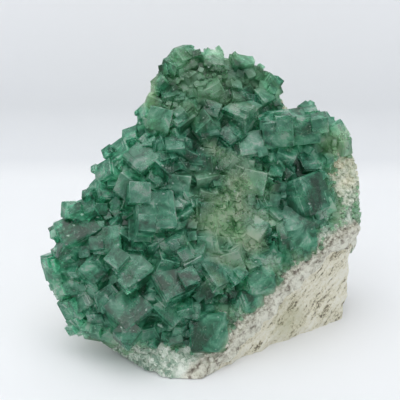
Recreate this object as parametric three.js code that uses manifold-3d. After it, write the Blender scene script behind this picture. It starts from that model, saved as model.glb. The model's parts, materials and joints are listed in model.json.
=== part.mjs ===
// Green fluorite specimen: a druse of intergrown cubes on a pale sugary layer, on a broken block of cream rock.
// Millimetres, +Z up, the crystal-covered front faces -Y and leans back from the floor.
import * as THREE from "three";
import { mergeVertices } from "three/addons/utils/BufferGeometryUtils.js";
import Module from "manifold-3d";

const wasm = await Module();
wasm.setup();

// ---- Driving dimensions ----
const WIDTH = 140; // left tip to right corner
const HEIGHT = 0.87 * WIDTH; // floor to the top of the rock
const DEPTH = 0.62 * WIDTH; // front foot to the broken back
const FRONT_TILT = 25; // degrees the layout direction "out" rises above the floor
const BULGE = 8; // how far the crystal-covered front swells in its middle
const PALE_LAYER = 3; // thickness of the pale sugary layer
const CRYSTAL_SHEET = 1.6; // thickness of the continuous fluorite between the crystals
const GAP = 0.3; // clearance between touching pieces
const CRUST_WRAP = 20; // how far the crust folds back round the left, top and right sides
const BASE_CLEARANCE = 0.4; // pale layer and crystals stop this far above the floor
const FOOT_MARGIN = 10; // height of the pale foot below the crystals, along the front
const FLANK_MARGIN = 3.5; // width of the pale border beside the bare flank

// ---- Layout frame: p to the right, q up the front, r out of it, origin at the foot of the front ----
const tilt = THREE.MathUtils.degToRad(FRONT_TILT);
const P_AXIS = new THREE.Vector3(1, 0, 0);
const Q_AXIS = new THREE.Vector3(0, Math.sin(tilt), Math.cos(tilt));
const R_AXIS = new THREE.Vector3(0, -Math.cos(tilt), Math.sin(tilt));
const LAYOUT_TURN = new THREE.Quaternion().setFromRotationMatrix(
  new THREE.Matrix4().makeBasis(P_AXIS, Q_AXIS, R_AXIS),
);

function fromLayout(p, q, r) {
  return new THREE.Vector3()
    .addScaledVector(P_AXIS, p)
    .addScaledVector(Q_AXIS, q)
    .addScaledVector(R_AXIS, r);
}

// ---- Repeatable random numbers ----
const LCG_MULTIPLIER = 48271;
const LCG_MODULUS = 2147483647;

function randomStream(seed) {
  let state = seed;
  return (low, high) => {
    state = (state * LCG_MULTIPLIER) % LCG_MODULUS;
    return low + ((high - low) * state) / LCG_MODULUS;
  };
}

// ---- Roughness: a sum of plane waves in random directions ----
function waves(seed, count, wavelength, height) {
  const random = randomStream(seed);
  const parts = [];
  for (let i = 0; i < count; i++) {
    const direction = new THREE.Vector3(random(-1, 1), random(-1, 1), random(-1, 1)).normalize();
    const length = wavelength * random(0.6, 1.6);
    const phase = random(0, 2 * Math.PI);
    parts.push({ direction, number: (2 * Math.PI) / length, phase });
  }
  return (point) => {
    let sum = 0;
    for (const wave of parts) {
      sum += Math.sin(wave.number * wave.direction.dot(point) + wave.phase);
    }
    return (height * sum) / Math.sqrt(count);
  };
}

const coverWaves = waves(11, 9, 34, 1.2);
const fractureWaves = waves(23, 12, 22, 1.0);

// ---- The front surface, as a height r over the layout plane ----
const FRONT_SLOPE_P = -0.1;
const FRONT_SLOPE_Q = -0.11;
const BULGE_CENTRE = [-4, 72];
const BULGE_REACH = 76;
const ROCK_SET_BACK = 7; // the rock lies this far behind the tips of the crystals
const CORNER_RECESS = 13; // the lower left corner curls back under
const CORNER_SLANT = [0.75, 0.66]; // how the curl deepens towards the left and towards the floor
const CORNER_LEVEL = 40;
const CORNER_START = 35;
const CORNER_RUN = 30;
const FOOT_SWELL = 4.5; // the foot of the front spreads forward
const FOOT_REACH = 25;

function frontHeight(p, q) {
  const across = (p - BULGE_CENTRE[0]) / BULGE_REACH;
  const along = (q - BULGE_CENTRE[1]) / BULGE_REACH;
  const bulge = BULGE * (1 - across * across - along * along);
  const outward = -CORNER_SLANT[0] * p - CORNER_SLANT[1] * (q - CORNER_LEVEL);
  const corner = (outward - CORNER_START) / CORNER_RUN;
  const recess = CORNER_RECESS * Math.max(0, corner);
  const foot = FOOT_SWELL * Math.max(0, 1 - q / FOOT_REACH) ** 2;
  return FRONT_SLOPE_P * p + FRONT_SLOPE_Q * q + bulge - recess + foot - ROCK_SET_BACK;
}

// ---- The sides, as planes: outward direction and a point each passes through ----
const plane = (normal, through) => {
  const n = new THREE.Vector3(...normal).normalize();
  return { n, d: n.dot(new THREE.Vector3(...through)) };
};

// Each covered side is one plane, or two that meet in a hollow, of which the farther one counts.
const COVERED_SIDES = [
  // upper left shoulder, and the left of the top
  [plane([-0.81, 0.3, 0.5], [-31, 46, 78]), plane([-0.93, 0.24, 0.28], [-20.8, 57.9, 96.3])],
  [plane([-0.87, 0.48, 0.05], [-62.3, 27, 42])], // left side behind the tip
  [plane([-0.86, 0.1, -0.5], [-57, 22, 27])], // under the left tip
  [plane([-0.47, -0.58, -0.67], [-24, 12, 0])], // under the lower left
  [plane([0.05, 0.4, 0.92], [5, 74, HEIGHT])], // top
  // right of the top, and the right shoulder
  [plane([0.78, 0.54, 0.44], [27.3, 71.8, 104.6]), plane([0.24, 0.68, 0.75], [50.6, 66.2, 89.6])],
  [plane([0.99, 0.1, 0.05], [67.5, 50, 70])], // right side
];

const BROKEN_SIDES = [
  plane([0.545, -0.837, -0.06], [-5.5, 0, 0]), // bare flank at the lower right
  plane([0.987, 0.1, -0.08], [67, 41, 0]), // right side behind the flank
  plane([0.05, 0.99, 0.08], [0, DEPTH, 0]), // back
  plane([-0.6, 0.8, 0.1], [-44, 78, 30]), // left corner of the back
  plane([0.55, 0.83, 0.1], [54, 78, 30]), // right corner of the back
];

const CORE = new THREE.Vector3(-2, 52, 48); // a point deep in the rock, seen from which every surface is single
const FAR = 140; // beyond every surface
const TOE = new THREE.Vector3(0, -4, 0).sub(CORE).normalize(); // the corner between front and flank spreads out
const TOE_FLARE = 4;
const TOE_SPREAD = 0.03;
const HALVINGS = 24;
const COVER_ROUNDING = 3; // how round the corners between the covered sides are
const BREAK_ROUNDING = 1; // and between the broken sides
const WAVE_REACH = 100; // roughness beyond this distance stays the same

function toeReach(direction) {
  return TOE_FLARE * Math.exp((direction.dot(TOE) - 1) / TOE_SPREAD);
}

function planeReach(side, direction, offset) {
  const facing = side.n.dot(direction);
  const distance = side.d + offset - side.n.dot(CORE);
  return facing > 1e-3 ? Math.min(FAR, distance / facing) : FAR;
}

// Distance from the core to the front surface, found by halving.
function frontReach(direction, offset) {
  let inside = 0;
  let outside = FAR;
  for (let i = 0; i < HALVINGS; i++) {
    const reach = (inside + outside) / 2;
    const point = CORE.clone().addScaledVector(direction, reach);
    const p = point.dot(P_AXIS);
    const q = point.dot(Q_AXIS);
    const r = point.dot(R_AXIS);
    if (r < frontHeight(p, q) + offset) inside = reach;
    else outside = reach;
  }
  return inside;
}

// The least of several reaches, with the corner between them rounded over about "round".
function blendedLeast(reaches, round) {
  const least = Math.min(...reaches);
  let sum = 0;
  for (const reach of reaches) sum += Math.exp((least - reach) / round);
  return least - round * Math.log(sum);
}

function coverReach(direction, offset) {
  const reaches = COVERED_SIDES.map((planes) =>
    Math.max(...planes.map((side) => planeReach(side, direction, offset))),
  );
  reaches.push(frontReach(direction, offset));
  const reach = blendedLeast(reaches, COVER_ROUNDING);
  return reach + coverWaves(direction.clone().multiplyScalar(reach)) + toeReach(direction);
}

function fractureReach(direction) {
  const reaches = BROKEN_SIDES.map((side) => planeReach(side, direction, 0));
  const reach = blendedLeast(reaches, BREAK_ROUNDING);
  const waves = fractureWaves(direction.clone().multiplyScalar(Math.min(reach, WAVE_REACH)));
  return reach + waves + toeReach(direction);
}

// ---- Solids ----
function solidOf(geometry) {
  geometry.deleteAttribute("normal");
  geometry.deleteAttribute("uv");
  const merged = mergeVertices(geometry, 1e-4);
  return new wasm.Manifold(
    new wasm.Mesh({
      numProp: 3,
      vertProperties: merged.attributes.position.array,
      triVerts: new Uint32Array(merged.index.array),
    }),
  );
}

// A closed surface around the core, given by how far it reaches in each direction.
function starSolid(detail, reachOf) {
  const geometry = new THREE.IcosahedronGeometry(1, detail);
  const position = geometry.attributes.position;
  const direction = new THREE.Vector3();
  for (let i = 0; i < position.count; i++) {
    direction.fromBufferAttribute(position, i).normalize();
    const point = direction.clone().multiplyScalar(reachOf(direction)).add(CORE);
    position.setXYZ(i, point.x, point.y, point.z);
  }
  return solidOf(geometry);
}

function boxSolid(size, quaternion, centre) {
  const geometry = new THREE.BoxGeometry(size.x, size.y, size.z);
  geometry.applyQuaternion(quaternion);
  geometry.translate(centre.x, centre.y, centre.z);
  return solidOf(geometry);
}

// A slab of space above a level, wide enough to hold the whole specimen.
function spaceAbove(level) {
  const span = 4 * WIDTH;
  const size = new THREE.Vector3(span, span, span);
  return boxSolid(size, new THREE.Quaternion(), new THREE.Vector3(0, 0, level + span / 2));
}

// The space on the inner side of a plane, given by its outward direction and a point on it.
function spaceBehind(outward, through) {
  const span = 4 * WIDTH;
  const n = outward.clone().normalize();
  const turn = new THREE.Quaternion().setFromUnitVectors(new THREE.Vector3(0, 0, 1), n);
  const centre = through.clone().addScaledVector(n, -span / 2);
  return boxSolid(new THREE.Vector3(span, span, span), turn, centre);
}

// Everything in front of the line where the crust stops on the left, top and right sides.
function spaceInFrontOfBreak() {
  const backward = fromLayout(FRONT_SLOPE_P, FRONT_SLOPE_Q, -1);
  return spaceBehind(backward, fromLayout(0, 0, -CRUST_WRAP));
}

// The crystals stop short of the foot and of the bare flank, where the pale layer shows.
function crystalRegion(region) {
  const foot = spaceBehind(fromLayout(0, -1, 0), fromLayout(0, FOOT_MARGIN, 0));
  const flank = BROKEN_SIDES[0].n;
  const inset = spaceBehind(flank, flank.clone().multiplyScalar(-FLANK_MARGIN));
  return region.intersect(foot).intersect(inset);
}

// ---- Crystals ----
// Each cube: place on the front, edge, direction its face leans (degrees from p), how far it leans,
// turn of the face in its own plane, lift out of the crust. Listed row by row, in millimetres and degrees.
const MAIN_CRYSTALS = [
  // left tip and left edge
  [-64.5, 47, 10, 200, 50, 10, 0],
  [-61.5, 63, 6, 150, 44, 20, 0],
  [-58, 72, 7, 160, 29, 0, 0],
  [-56, 61, 14, 100, 32, 30, 0.5],
  [-58, 45, 9, 250, 44, 15, 0],
  [-50.5, 71, 10, 120, 51, 20, 0],
  [-44, 79, 9, 60, 44, 10, 0],
  [-46, 82, 6, 150, 44, 40, 0],
  [-42, 88, 9, 150, 44, 20, 0],
  [-36, 97, 9, 140, 44, 30, 0],
  [-32, 104, 7, 130, 44, 10, 0],
  [-26, 115, 6, 170, 52, 25, 0],
  // middle left
  [-42, 58, 12, 100, 17, 5, 1.5],
  [-46, 48, 9, 240, 36, 30, 0],
  [-23, 70, 17, 45, 25, 5, 4],
  [-24, 57, 9, 80, 51, 30, 1],
  [-12, 57, 11, 250, 29, 20, 2.5],
  [-31, 45, 14, 95, 28, 40, 3],
  [-14, 39, 15, 85, 30, 30, 3],
  [-42, 37, 9, 280, 29, 35, 0],
  [-48, 39, 8, 230, 36, 10, 0],
  // lower middle
  [-33, 27, 16, 90, 30, 44, 2.5],
  [-16, 27, 12, 60, 36, 45, 1.5],
  [2, 18, 16, 110, 15, 5, 2],
  [-24, 20, 8, 270, 36, 20, 0],
  [5, 44, 14, 60, 36, 30, 2],
  [23, 41, 13, 80, 41, 15, 1],
  [19, 33, 10, 20, 29, 20, 0],
  // right
  [44, 78, 17, 200, 44, 20, 3],
  [40, 62, 17, 95, 36, 10, 2.5],
  [43, 54, 8, 270, 29, 10, 0],
  [31, 70, 9, 60, 44, 40, 0],
  [25, 54, 8, 120, 44, 20, 0],
  [15, 57, 7, 300, 36, 10, 0],
  // upper right
  [61, 108.5, 9, 20, 36, 30, 0],
  [63, 100, 6, 350, 40, 15, 0],
  [32, 108, 13, 275, 28, 8, 6.5],
  [44, 109.7, 13, 275, 28, 8, 6.5],
  [46, 117, 6, 90, 45, 45, 0],
  [53, 111, 8, 60, 40, 20, 0],
  [53, 94, 8, 100, 44, 30, 0],
  [46, 92, 9, 60, 36, 10, 0],
  [33, 92, 8, 200, 36, 30, 0],
  // upper middle
  [17, 113, 13, 95, 51, 50, 2.5],
  [11, 104, 9, 80, 29, 45, 0],
  [21, 100, 11, 110, 22, 10, 1.5],
  [-11, 111, 10, 90, 36, 45, 1],
  [-28, 93, 12, 85, 29, 45, 2],
  [-7, 80, 9, 60, 36, 20, 0],
  [-17, 82, 8, 120, 40, 10, 0],
  [-9, 70, 9, 300, 44, 30, 0],
  // top
  [-8, 137, 9, 110, 29, 20, -1],
  [4, 139.5, 9, 90, 22, 0, -1],
  [16, 139, 10, 80, 36, 20, -1],
  [-19, 128, 7, 150, 44, 30, 0],
  [-15, 122, 8, 100, 51, 15, 0],
  [4, 125, 10, 280, 29, 30, 0],
  [15, 122, 9, 60, 44, 0, 0],
  [26, 122, 8, 60, 44, 30, 0],
  // lower left
  [-57, 30, 10, 220, 44, 20, 0],
  [-52, 33, 9, 180, 36, 35, 0],
  [-46, 26, 8, 240, 44, 10, 0],
  [-55, 23, 8, 230, 52, 30, 0],
  [-49, 20, 8, 250, 51, 0, 0],
  [-41, 18, 8, 260, 44, 40, 0],
];

function crystalTurn(toward, lean, turn) {
  const rad = THREE.MathUtils.degToRad;
  const out = new THREE.Vector3(0, 0, 1);
  const leanAxis = new THREE.Vector3(0, 1, 0);
  return LAYOUT_TURN.clone()
    .multiply(new THREE.Quaternion().setFromAxisAngle(out, rad(toward)))
    .multiply(new THREE.Quaternion().setFromAxisAngle(leanAxis, rad(lean)))
    .multiply(new THREE.Quaternion().setFromAxisAngle(out, rad(turn - toward)));
}

// How far a cube's middle sits under the sheet, as a share of its edge: about half of it stands out.
const SUNK = 0.25;
const FILLER_SUNK = 0.2;

function mainCrystal([p, q, edge, toward, lean, turn, lift]) {
  const r = frontHeight(p, q) + PALE_LAYER + CRYSTAL_SHEET + lift - SUNK * edge;
  const size = new THREE.Vector3(edge, edge, edge);
  return boxSolid(size, crystalTurn(toward, lean, turn), fromLayout(p, q, r));
}

// Directions spread evenly round the core, by the golden angle.
const DIRECTIONS = 215;
const GOLDEN_ANGLE = Math.PI * (3 - Math.sqrt(5));
const FILLER_EDGE = [6, 11];

function spreadDirection(i, random) {
  const height = 1 - (2 * (i + 0.5)) / DIRECTIONS;
  const radius = Math.sqrt(1 - height * height);
  const angle = GOLDEN_ANGLE * i;
  const jitter = 0.04;
  return new THREE.Vector3(
    radius * Math.cos(angle) + random(-jitter, jitter),
    radius * Math.sin(angle) + random(-jitter, jitter),
    height + random(-jitter, jitter),
  ).normalize();
}

function fillerCrystals() {
  const random = randomStream(77);
  const solids = [];
  for (let i = 0; i < DIRECTIONS; i++) {
    const direction = spreadDirection(i, random);
    const edge = random(...FILLER_EDGE);
    const euler = new THREE.Euler(random(0, Math.PI), random(0, Math.PI), random(0, Math.PI));
    const reach = coverReach(direction, PALE_LAYER + CRYSTAL_SHEET);
    if (reach > fractureReach(direction) + edge) continue;
    const centre = CORE.clone().addScaledVector(direction, reach - FILLER_SUNK * edge);
    const size = new THREE.Vector3(edge, edge, edge);
    solids.push(boxSolid(size, new THREE.Quaternion().setFromEuler(euler), centre));
  }
  return solids;
}

// ---- Pieces ----
const ROCK_DETAIL = 7;
const SLIVER = 0.12; // facets narrower than this are merged into their neighbours
const brokenSides = starSolid(ROCK_DETAIL, fractureReach);
const aboveFloor = spaceAbove(0);
const aboveClearance = spaceAbove(BASE_CLEARANCE);
const coverBody = (offset) => starSolid(ROCK_DETAIL, (direction) => coverReach(direction, offset));

// The biggest of the bodies left after a cut: crumbs at a cut edge and sealed pockets are dropped.
function biggestBody(solid) {
  return solid.simplify(SLIVER).decompose().reduce((a, b) => (a.volume() > b.volume() ? a : b));
}

function matrixSolid() {
  return biggestBody(coverBody(0).intersect(brokenSides).intersect(aboveFloor));
}

function crustRegion() {
  return brokenSides.intersect(aboveClearance).intersect(spaceInFrontOfBreak());
}

function paleLayerSolid(region) {
  const shell = coverBody(PALE_LAYER).subtract(coverBody(GAP));
  return biggestBody(shell.intersect(region));
}

function druseSolid(region) {
  const sheet = coverBody(PALE_LAYER + CRYSTAL_SHEET);
  const crystals = [...MAIN_CRYSTALS.map(mainCrystal), ...fillerCrystals()];
  const grown = wasm.Manifold.union([sheet, ...crystals]);
  const crust = grown.subtract(coverBody(PALE_LAYER + GAP));
  return biggestBody(crust.intersect(crystalRegion(region)));
}

function geometryOf(solid) {
  const mesh = solid.getMesh();
  const stride = mesh.numProp;
  const positions = new Float32Array(mesh.numVert * 3);
  for (let i = 0; i < mesh.numVert; i++) {
    positions.set(mesh.vertProperties.subarray(i * stride, i * stride + 3), i * 3);
  }
  return new THREE.BufferGeometry()
    .setAttribute("position", new THREE.BufferAttribute(positions, 3))
    .setIndex(new THREE.BufferAttribute(mesh.triVerts, 1));
}

const creamRock = () =>
  new THREE.MeshStandardMaterial({ color: "#cbc7b2", roughness: 0.95, metalness: 0 });
const paleSugar = () =>
  new THREE.MeshStandardMaterial({ color: "#b9c9b8", roughness: 0.55, metalness: 0 });
const greenFluorite = () =>
  new THREE.MeshStandardMaterial({ color: "#3f8f70", roughness: 0.12, metalness: 0 });

const region = crustRegion();
const part = new THREE.Group();
for (const [name, solid, material] of [
  ["matrix_rock", matrixSolid(), creamRock()],
  ["pale_layer", paleLayerSolid(region), paleSugar()],
  ["fluorite_druse", druseSolid(region), greenFluorite()],
]) {
  const mesh = new THREE.Mesh(geometryOf(solid), material);
  mesh.name = name;
  part.add(mesh);
}

// The origin is the middle of the bounding box, at floor level.
const box = new THREE.Box3().setFromObject(part);
const middle = box.getCenter(new THREE.Vector3());
for (const mesh of part.children) {
  mesh.geometry.translate(-middle.x, -middle.y, -box.min.z);
}

export default part;
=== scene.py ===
import json
import math

import bmesh
import bpy
import numpy as np
from mathutils import Euler, Matrix, Quaternion, Vector

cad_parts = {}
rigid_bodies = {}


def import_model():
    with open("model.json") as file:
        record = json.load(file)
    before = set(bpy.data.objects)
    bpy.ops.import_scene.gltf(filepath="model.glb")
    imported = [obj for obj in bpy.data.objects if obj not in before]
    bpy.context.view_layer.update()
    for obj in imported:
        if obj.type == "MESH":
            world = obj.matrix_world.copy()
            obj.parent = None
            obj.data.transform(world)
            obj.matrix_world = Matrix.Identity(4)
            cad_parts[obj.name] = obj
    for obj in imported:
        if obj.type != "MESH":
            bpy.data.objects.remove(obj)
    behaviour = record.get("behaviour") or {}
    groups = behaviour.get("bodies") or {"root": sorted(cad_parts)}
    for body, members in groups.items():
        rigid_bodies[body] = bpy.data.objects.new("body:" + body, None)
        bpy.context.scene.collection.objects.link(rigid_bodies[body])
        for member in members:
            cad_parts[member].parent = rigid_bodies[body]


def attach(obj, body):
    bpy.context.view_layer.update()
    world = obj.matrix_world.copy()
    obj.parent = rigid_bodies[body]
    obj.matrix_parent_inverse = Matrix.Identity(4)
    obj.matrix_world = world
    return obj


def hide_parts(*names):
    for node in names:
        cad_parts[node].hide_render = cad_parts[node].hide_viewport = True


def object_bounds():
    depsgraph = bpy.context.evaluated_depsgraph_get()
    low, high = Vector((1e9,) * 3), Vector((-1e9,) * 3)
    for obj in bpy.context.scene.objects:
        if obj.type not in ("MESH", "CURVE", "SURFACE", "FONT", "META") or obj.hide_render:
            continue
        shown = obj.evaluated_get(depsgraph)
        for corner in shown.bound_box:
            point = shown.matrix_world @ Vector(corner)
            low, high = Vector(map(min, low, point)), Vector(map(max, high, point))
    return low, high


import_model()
cad_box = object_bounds()

MM = 0.001

# ---- Driving dimensions, in millimetres: the same as the solid model's ----
WIDTH = 140
HEIGHT = 0.87 * WIDTH
DEPTH = 0.62 * WIDTH
PALE_LAYER = 3
CRYSTAL_SHEET = 1.6
CRUST_WRAP = 20
FOOT_MARGIN = 10
FLANK_MARGIN = 3.5
BASE_CLEARANCE = 0.4

# ---- Layout frame: p to the right, q up the front, r out of it, origin at the front's foot ----
FRONT_TILT = math.radians(25)
FRONT_FOOT = Vector((0.615, -42.847, 0))  # the layout's origin in the frame
P_AXIS = Vector((1, 0, 0))
Q_AXIS = Vector((0, math.sin(FRONT_TILT), math.cos(FRONT_TILT)))
R_AXIS = Vector((0, -math.cos(FRONT_TILT), math.sin(FRONT_TILT)))
LAYOUT_TURN = Matrix((P_AXIS, Q_AXIS, R_AXIS)).transposed().to_quaternion()
CORE = Vector((-2, 52, 48))


def from_layout(p, q, r):
    return p * P_AXIS + q * Q_AXIS + r * R_AXIS


def in_frame(point):
    """A point in millimetres from the front's foot, as metres in the frame."""
    return (FRONT_FOOT + point) * MM


# ---- Repeatable random numbers ----
LCG_MULTIPLIER = 48271
LCG_MODULUS = 2147483647


def random_stream(seed):
    state = seed

    def draw(low, high):
        nonlocal state
        state = (state * LCG_MULTIPLIER) % LCG_MODULUS
        return low + (high - low) * state / LCG_MODULUS

    return draw


# ---- Roughness: a sum of plane waves in random directions ----
WAVELENGTH_SPREAD = (0.6, 1.6)


def waves(seed, count, wavelength, height):
    random = random_stream(seed)
    directions, numbers, phases = [], [], []
    for _ in range(count):
        directions.append(Vector((random(-1, 1), random(-1, 1), random(-1, 1))).normalized())
        numbers.append(2 * math.pi / (wavelength * random(*WAVELENGTH_SPREAD)))
        phases.append(random(0, 2 * math.pi))
    scaled = np.array(directions) * np.array(numbers)[:, None]
    phases = np.array(phases)
    return lambda points: height * np.sin(points @ scaled.T + phases).sum(axis=1) / math.sqrt(count)


cover_waves = waves(seed=11, count=9, wavelength=34, height=1.2)
fracture_waves = waves(seed=23, count=12, wavelength=22, height=1.0)
margin_waves = waves(seed=41, count=10, wavelength=14, height=1.5)
sheet_waves = waves(seed=67, count=12, wavelength=16, height=1.3)
tone_waves = waves(seed=29, count=8, wavelength=30, height=0.3)
lump_waves = waves(seed=97, count=24, wavelength=8, height=0.55)
chip_waves = waves(seed=131, count=40, wavelength=3.4, height=0.28)

# ---- The look of the crust, in the layout's millimetres ----
SHEET_ROOT = 1.2  # how far the crystals reach down into the pale layer
SHEET_FILL = 1.2  # finest crystals that thicken the sheet in the gaps
SUGAR_RISE = 1.6  # how much more they thicken it in the fine pale patches
# Fine pale patches instead of big crystals: middle and half-widths along p and q, strength.
SUGAR_AREAS = (
    (12, 71, 15, 25, 1),
    (60, 103, 7, 8, 0.8),
    (61, 68, 4, 10, 0.7),
    (-24, 123, 4, 14, 0.9),
    (0, 132, 28, 22, 0.45),
)
# Broad light and dark areas: middle and half-widths along p and q, change of tone.
TONE_AREAS = (
    # painted shade along a valley between the crystals
    (-10, 94, 17, 9, -0.75),
    (48, 75, 8, 5, -0.6),
    (-58, 28, 16, 16, 0.6),
    (-30, 112, 6, 20, 0.3),
    (58, 106, 12, 10, 0.2),
    (-2, 32, 14, 6, -0.15),
    (50, 66, 18, 16, 0.3),
    (-4, 20, 16, 7, -0.05),
    # painted shade over the top, which takes the most light from above
    (6, 132, 32, 20, -0.5),
)
# Places without crystals, at the edges of the crust: middle and half-widths along p and q.
BARE_PATCHES = (
    (67, 84, 8, 17),
    (39, 121, 4, 9),
    (-24, 6, 13, 7),
    (-43, 12, 14, 6),
)

# ---- The rock's front, as a height r over the layout plane ----
FRONT_SLOPE_P = -0.1
FRONT_SLOPE_Q = -0.11
BULGE = 8
BULGE_CENTRE = (-4, 72)
BULGE_REACH = 76
ROCK_SET_BACK = 7
CORNER_RECESS = 13
CORNER_SLANT = (0.75, 0.66)  # how the recess deepens towards the left and towards the floor
CORNER_LEVEL = 40
CORNER_START = 35
CORNER_RUN = 30
FOOT_SWELL = 4.5
FOOT_REACH = 25


def front_height(p, q):
    across = (p - BULGE_CENTRE[0]) / BULGE_REACH
    along = (q - BULGE_CENTRE[1]) / BULGE_REACH
    bulge = BULGE * (1 - across * across - along * along)
    outward = -CORNER_SLANT[0] * p - CORNER_SLANT[1] * (q - CORNER_LEVEL)
    recess = CORNER_RECESS * np.maximum(0, (outward - CORNER_START) / CORNER_RUN)
    foot = FOOT_SWELL * np.maximum(0, 1 - q / FOOT_REACH) ** 2
    return FRONT_SLOPE_P * p + FRONT_SLOPE_Q * q + bulge - recess + foot - ROCK_SET_BACK


def plane(normal, through):
    n = Vector(normal).normalized()
    return n, n.dot(Vector(through))


# Each covered side is one plane, or two that meet in a hollow, of which the farther one counts.
COVERED_SIDES = (
    (plane((-0.81, 0.3, 0.5), (-31, 46, 78)), plane((-0.93, 0.24, 0.28), (-20.8, 57.9, 96.3))),
    (plane((-0.87, 0.48, 0.05), (-62.3, 27, 42)),),
    (plane((-0.86, 0.1, -0.5), (-57, 22, 27)),),
    (plane((-0.47, -0.58, -0.67), (-24, 12, 0)),),
    (plane((0.05, 0.4, 0.92), (5, 74, HEIGHT)),),
    (plane((0.78, 0.54, 0.44), (27.3, 71.8, 104.6)), plane((0.24, 0.68, 0.75), (50.6, 66.2, 89.6))),
    (plane((0.99, 0.1, 0.05), (67.5, 50, 70)),),
)
BROKEN_SIDES = (
    plane((0.545, -0.837, -0.06), (-5.5, 0, 0)),
    plane((0.987, 0.1, -0.08), (67, 41, 0)),
    plane((0.05, 0.99, 0.08), (0, DEPTH, 0)),
    plane((-0.6, 0.8, 0.1), (-44, 78, 30)),
    plane((0.55, 0.83, 0.1), (54, 78, 30)),
)
FAR = 140
EDGE_ON = 1e-3  # a side that faces a direction less than this is never reached in it
HALVINGS = 24
COVER_ROUNDING = 3  # how round the corners between the covered sides are
BREAK_ROUNDING = 1  # and between the broken sides
WAVE_REACH = 100  # roughness beyond this distance stays the same
TOE = (Vector((0, -4, 0)) - CORE).normalized()
TOE_FLARE = 4
TOE_SPREAD = 0.03


def toe_reach(directions):
    """The corner between the front and the flank spreads out at the floor."""
    return TOE_FLARE * np.exp((directions @ np.array(TOE) - 1) / TOE_SPREAD)


def plane_reach(side, directions, offset):
    normal, distance = side
    facing = directions @ np.array(normal)
    gap = distance + offset - normal.dot(CORE)
    return np.where(facing > EDGE_ON, np.minimum(FAR, gap / np.maximum(facing, EDGE_ON)), FAR)


def front_reach(directions, offset):
    """Distance from the core to the front surface, found by halving."""
    inside = np.zeros(len(directions))
    outside = np.full(len(directions), float(FAR))
    for _ in range(HALVINGS):
        reach = (inside + outside) / 2
        points = np.array(CORE) + directions * reach[:, None]
        p, q, r = (points @ np.array(axis) for axis in (P_AXIS, Q_AXIS, R_AXIS))
        within = r < front_height(p, q) + offset
        inside = np.where(within, reach, inside)
        outside = np.where(within, outside, reach)
    return inside


def blended_least(reaches, rounding):
    """The least of several reaches, with the corners between them rounded over."""
    reaches = np.array(reaches)
    least = reaches.min(axis=0)
    return least - rounding * np.log(np.exp((least - reaches) / rounding).sum(axis=0))


def cover_reach(directions, offset):
    reaches = [
        np.max([plane_reach(side, directions, offset) for side in planes], axis=0)
        for planes in COVERED_SIDES
    ]
    reaches.append(front_reach(directions, offset))
    reach = blended_least(reaches, COVER_ROUNDING)
    return reach + cover_waves(directions * reach[:, None]) + toe_reach(directions)


def fracture_reach(directions):
    reaches = [plane_reach(side, directions, 0) for side in BROKEN_SIDES]
    reach = blended_least(reaches, BREAK_ROUNDING)
    waviness = fracture_waves(directions * np.minimum(reach, WAVE_REACH)[:, None])
    return reach + waviness + toe_reach(directions)


def rough_fracture_reach(directions):
    """The broken sides with lumps and chips, which the solid model leaves out."""
    reach = fracture_reach(directions)
    points = directions * np.minimum(reach, WAVE_REACH)[:, None]
    return reach + lump_waves(points) + chip_waves(points)


# ---- Mesh helpers ----
COARSE = 6  # how often the triangles of a surface round the core are split
FINE = 7


def add_object(name, mesh):
    piece = bpy.data.objects.new(name, mesh)
    bpy.context.scene.collection.objects.link(piece)
    return piece


def star_object(name, subdivisions, reach_of):
    """A closed surface around the core, given by how far it reaches in each direction."""
    shape = bmesh.new()
    bmesh.ops.create_icosphere(shape, subdivisions=subdivisions, radius=1.0)
    mesh = bpy.data.meshes.new(name)
    shape.to_mesh(mesh)
    shape.free()
    flat = np.empty(len(mesh.vertices) * 3)
    mesh.vertices.foreach_get("co", flat)
    directions = flat.reshape(-1, 3)
    directions /= np.linalg.norm(directions, axis=1)[:, None]
    points = np.array(FRONT_FOOT + CORE) + directions * reach_of(directions)[:, None]
    mesh.vertices.foreach_set("co", (points * MM).ravel())
    return add_object(name, mesh)


def box_object(name, centre, turn, size):
    shape = bmesh.new()
    bmesh.ops.create_cube(shape, size=1.0, matrix=Matrix.LocRotScale(centre * MM, turn, size * MM))
    mesh = bpy.data.meshes.new(name)
    shape.to_mesh(mesh)
    shape.free()
    return add_object(name, mesh)


def space_behind(name, outward, through):
    """The space on the inner side of a plane, given by its outward direction and a point on it."""
    span = 4 * WIDTH
    n = outward.normalized()
    turn = Vector((0, 0, 1)).rotation_difference(n)
    return box_object(name, FRONT_FOOT + through - n * span / 2, turn, Vector((span, span, span)))


def bake(piece):
    """Replaces a piece's mesh with what its modifiers make of it."""
    evaluated = piece.evaluated_get(bpy.context.evaluated_depsgraph_get())
    old = piece.data
    mesh = bpy.data.meshes.new_from_object(evaluated)
    piece.modifiers.clear()
    piece.data = mesh
    bpy.data.meshes.remove(old)


def cut(piece, *others, operation="INTERSECT"):
    """Keeps what is inside each other closed mesh, or takes it away with DIFFERENCE."""
    for other in others:
        modifier = piece.modifiers.new("cut", "BOOLEAN")
        modifier.operation = operation
        modifier.solver = "MANIFOLD"
        modifier.object = other
        bake(piece)


def join(piece, group):
    """Joins all of a group's closed meshes into the piece and removes the group."""
    modifier = piece.modifiers.new("join", "BOOLEAN")
    modifier.operation = "UNION"
    modifier.operand_type = "COLLECTION"
    modifier.solver = "MANIFOLD"
    modifier.collection = group
    bake(piece)
    discard(*group.objects)
    bpy.data.collections.remove(group)


def new_group(name):
    group = bpy.data.collections.new(name)
    bpy.context.scene.collection.children.link(group)
    return group


def discard(*pieces):
    for piece in pieces:
        bpy.data.objects.remove(piece)


# ---- Values carried by faces and points, for the materials ----
def mark_faces(mesh, name, values):
    layer = mesh.attributes.new(name, "FLOAT", "FACE")
    layer.data.foreach_set("value", values)


def mark_points(mesh, name, values):
    layer = mesh.attributes.new(name, "FLOAT", "POINT")
    layer.data.foreach_set("value", values)


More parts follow.
